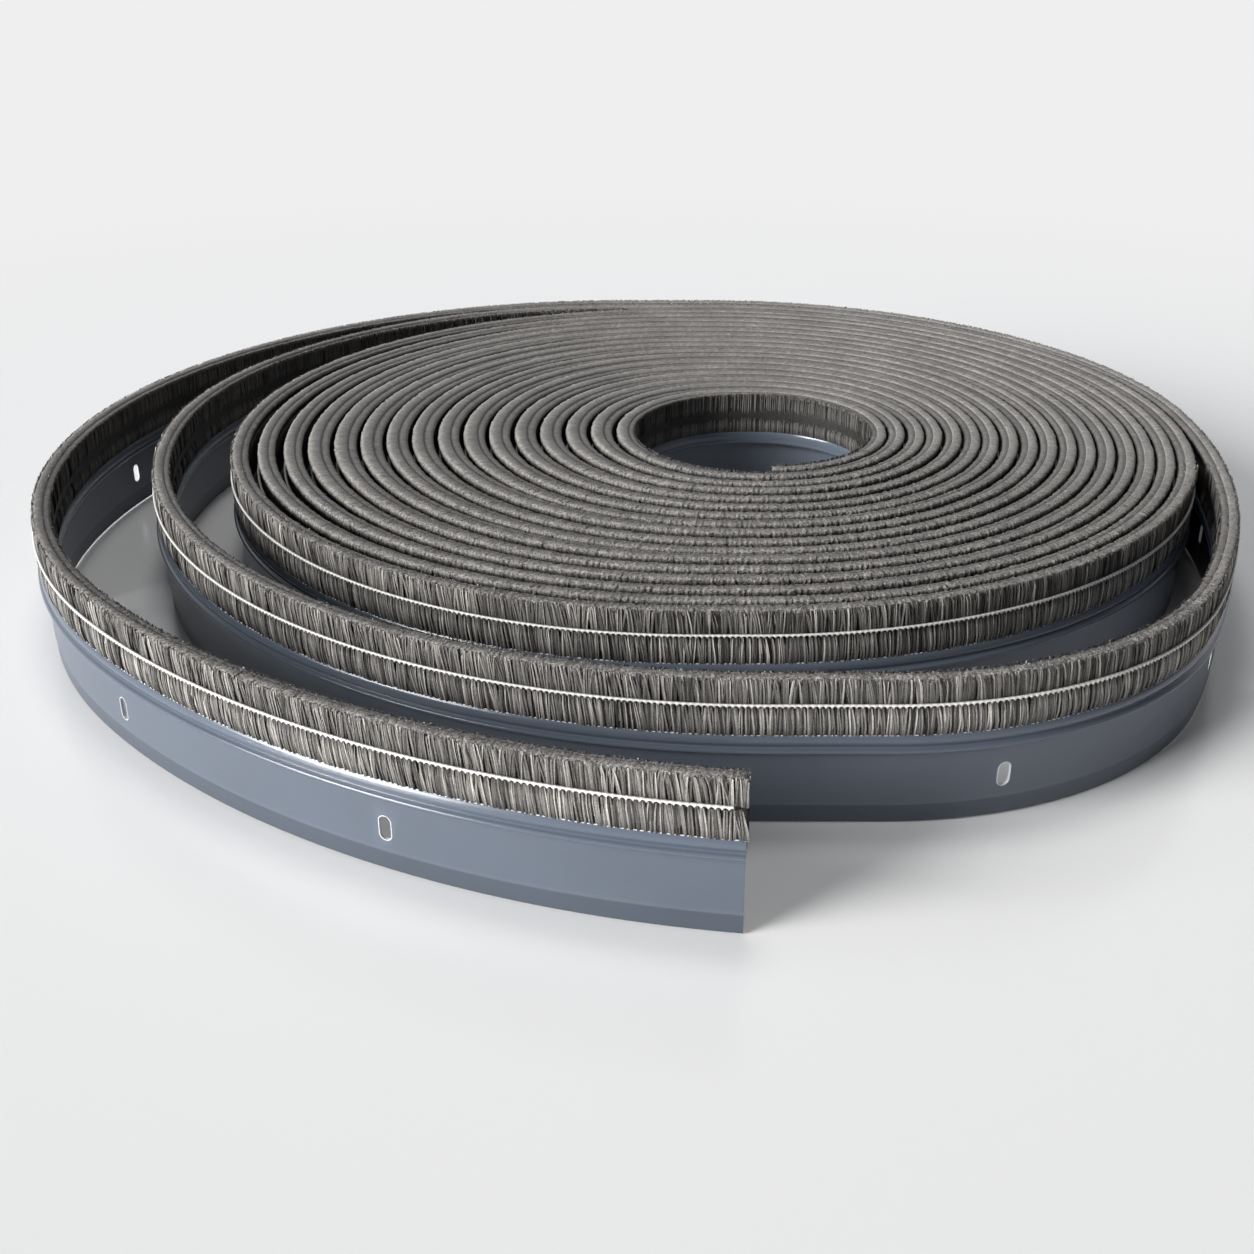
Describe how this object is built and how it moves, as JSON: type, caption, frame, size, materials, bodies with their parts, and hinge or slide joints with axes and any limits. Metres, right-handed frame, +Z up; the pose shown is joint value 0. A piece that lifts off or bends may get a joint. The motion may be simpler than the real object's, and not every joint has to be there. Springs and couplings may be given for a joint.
{
  "type": "brush seal strip",
  "caption": "Coil of flexible brush seal strip: a slotted plastic flange and jaw that grip a dense pile of bristles, wound flat with a loose outer end.",
  "frame": {"origin": "middle of the coil's outer box, on the surface that the flange edge stands on", "axes": "+Z up, from the flange edge to the bristle tips, +Y towards the back of the coil, away from the free end, +X right"},
  "size_m": [0.48, 0.5004, 0.05],
  "materials": {
    "plastic": "satin",
    "bristle": "matte",
    "cord": "matte"
  },
  "bodies": {
    "root": {"carrier": "plastic", "bristle_pile": "bristle", "binding_cord": "cord"}
  },
  "joints": []
}
